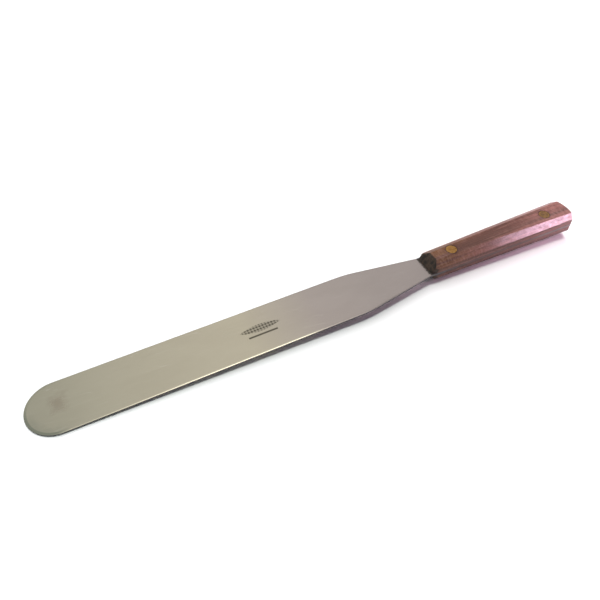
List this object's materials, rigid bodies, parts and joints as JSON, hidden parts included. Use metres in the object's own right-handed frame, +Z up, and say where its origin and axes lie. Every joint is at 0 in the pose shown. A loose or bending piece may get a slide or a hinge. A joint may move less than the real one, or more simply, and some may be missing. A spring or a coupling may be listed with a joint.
{
  "type": "icing spatula",
  "caption": "Long straight round-tipped steel spreading blade with a full tang, held between bevelled hardwood scales by flush brass rivets.",
  "frame": {"origin": "on the resting surface, under the middle of the tool's length and width", "axes": "+X along the tool from the blade's tip to the butt of the handle, +Y across the blade, +Z up; the tool lies at rest on its tip and on the front edge of the handle, so it leans 1.66 degrees up towards the butt"},
  "size_m": [0.4512, 0.0414, 0.0232],
  "materials": {
    "blade_steel": "satin polished along the blade, fine use scratches, darker rounded rim",
    "handle_wood": "lacquered reddish-brown rosewood with dark streaks, dark sealed end grain at the front",
    "rivet_brass": "sanded flush with the wood, lightly tarnished"
  },
  "bodies": {
    "root": {"blade": "blade_steel", "upper_scale": "handle_wood", "lower_scale": "handle_wood", "front_rivet_post": "rivet_brass", "front_rivet_socket": "rivet_brass", "rear_rivet_post": "rivet_brass", "rear_rivet_socket": "rivet_brass"}
  },
  "joints": []
}
